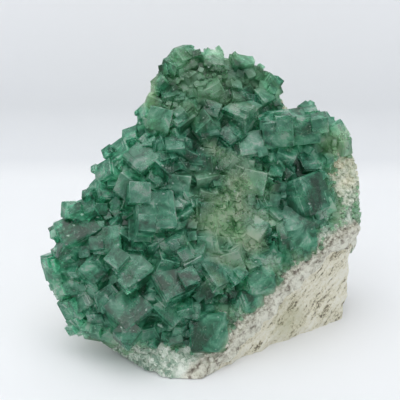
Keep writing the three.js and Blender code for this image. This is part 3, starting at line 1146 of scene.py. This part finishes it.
def cream_rock():
    """Granular cream rock with brown pits and streaks, and one olive stain near the floor."""
    shader = Shader("cream_rock")
    grains = shader.noise(900, 4, 0.75)
    streaks = shader.noise(420, 4, 0.6, 0.3, shader.stretched(FLANK_GRAIN, 0.72))
    patches = shader.noise(70, 4, 0.6)
    level = shader.spread(grains, 0.3, 0.7, 0, 0.4)
    level = shader.maths("ADD", level, shader.spread(streaks, 0.3, 0.7, 0, 0.5))
    level = shader.maths("ADD", level, shader.spread(patches, 0.3, 0.7, -0.05, 0.12))
    cream = shader.ramp(
        level,
        (
            (0.22, (0.12, 0.1, 0.07)),
            (0.32, (0.5, 0.46, 0.32)),
            (0.42, (0.86, 0.82, 0.64)),
            (0.66, (0.98, 0.96, 0.84)),
        ),
    )
    stain = shader.near(STAIN_PLACE, STAIN_RADIUS)
    stain = shader.maths("MULTIPLY", stain, shader.spread(patches, 0.4, 0.6, 0.3, 1))
    colour = shader.mix(stain, cream, (0.5, 0.5, 0.3))
    shader.link(colour, shader.principled.inputs["Base Color"])
    shader.principled.inputs["Roughness"].default_value = 0.9
    shader.bump(level, 0.0015, 0.8)
    return shader.material


def sweep_paper():
    """Pale paper, darker low on the wall than on the floor as painted shade, lighter higher up, and
    see-through from behind.
    """
    shader = Shader("sweep")
    split = shader.node("ShaderNodeSeparateXYZ")
    shader.link(shader.place, split.inputs[0])
    rise = shader.spread(split.outputs["Z"], 0, 0.1)
    # painted shade where the paper bends up from the floor
    colour = shader.ramp(
        rise,
        (
            (0, (0.83, 0.84, 0.85)),
            (0.08, (0.74, 0.755, 0.775)),
            (1, (0.87, 0.88, 0.9)),
        ),
    )
    shader.link(colour, shader.principled.inputs["Base Color"])
    shader.principled.inputs["Roughness"].default_value = 0.9
    clear = shader.node("ShaderNodeBsdfTransparent")
    sides = shader.node("ShaderNodeMixShader")
    shader.link(shader.node("ShaderNodeNewGeometry").outputs["Backfacing"], sides.inputs[0])
    shader.link(shader.principled.outputs[0], sides.inputs[1])
    shader.link(clear.outputs[0], sides.inputs[2])
    shader.link(sides.outputs[0], shader.nodes["Material Output"].inputs["Surface"])
    return shader.material


def finish_piece(piece, node, material):
    piece.data.materials.clear()
    piece.data.materials.append(material)
    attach(piece, "root")
    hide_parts(node)


def studio():
    """A pale sweep: floor, soft bend and back wall."""
    reach = 1.6
    wall_y = 0.16
    bend = 0.04
    steps = 16
    profile = [(-reach, 0.0)]
    for i in range(steps + 1):
        angle = 0.5 * math.pi * i / steps
        profile.append((wall_y + bend * math.sin(angle), bend * (1 - math.cos(angle))))
    profile.append((wall_y + bend, reach))
    mesh = bpy.data.meshes.new("sweep")
    vertices = [(x, y, z) for y, z in profile for x in (-reach, reach)]
    faces = [(2 * i, 2 * i + 1, 2 * i + 3, 2 * i + 2) for i in range(len(profile) - 1)]
    mesh.from_pydata(vertices, [], faces)
    for face in mesh.polygons:
        face.use_smooth = True
    mesh.materials.append(sweep_paper())
    add_object("sweep", mesh)


def soft_light(name, size, place, aim, watts):
    light = bpy.data.lights.new(name, "AREA")
    light.shape = "RECTANGLE"
    light.size, light.size_y = size
    light.energy = watts
    lamp = bpy.data.objects.new(name, light)
    lamp.location = place
    lamp.rotation_euler = (aim - place).to_track_quat("-Z", "Y").to_euler()
    bpy.context.scene.collection.objects.link(lamp)


def lights():
    middle = Vector((0, 0, 0.05))
    above = Vector((-0.12, -0.05, 0.75))
    right = Vector((0.6, -0.5, 0.25))
    soft_light("overhead", size=(0.7, 0.7), place=above, aim=middle, watts=2.6)
    soft_light("right_fill", size=(0.4, 0.4), place=right, aim=middle, watts=0.22)
    world = bpy.data.worlds.new("studio")
    world.use_nodes = True
    nodes = world.node_tree.nodes
    place = nodes.new("ShaderNodeTexCoord").outputs["Generated"]
    split = nodes.new("ShaderNodeSeparateXYZ")
    world.node_tree.links.new(place, split.inputs[0])
    rise = nodes.new("ShaderNodeMapRange")
    for name, value in (("From Min", -0.1), ("From Max", 0.9), ("To Min", 0.45), ("To Max", 1.0)):
        rise.inputs[name].default_value = value
    world.node_tree.links.new(split.outputs["Z"], rise.inputs["Value"])
    world.node_tree.links.new(rise.outputs[0], nodes["Background"].inputs["Strength"])
    nodes["Background"].inputs["Color"].default_value = (0.95, 0.97, 1, 1)
    bpy.context.scene.world = world


def camera():
    lens = 85
    distance = 0.41
    aim = in_frame(from_layout(-2.15, 76.5, 0))
    data = bpy.data.cameras.new("camera")
    data.lens = lens
    data.clip_start = 0.01
    eye = bpy.data.objects.new("camera", data)
    eye.location = aim + R_AXIS * distance
    eye.rotation_euler = (-R_AXIS).to_track_quat("-Z", "Y").to_euler()
    bpy.context.scene.collection.objects.link(eye)
    bpy.context.scene.camera = eye


limits = crust_limits()
finish_piece(make_druse(limits), "fluorite_druse", fluorite())
finish_piece(make_layer(limits), "pale_layer", pale_sugar())
finish_piece(make_rock(limits), "matrix_rock", cream_rock())
discard(*limits)
studio()
lights()
camera()
bpy.context.scene.view_settings.view_transform = "Standard"
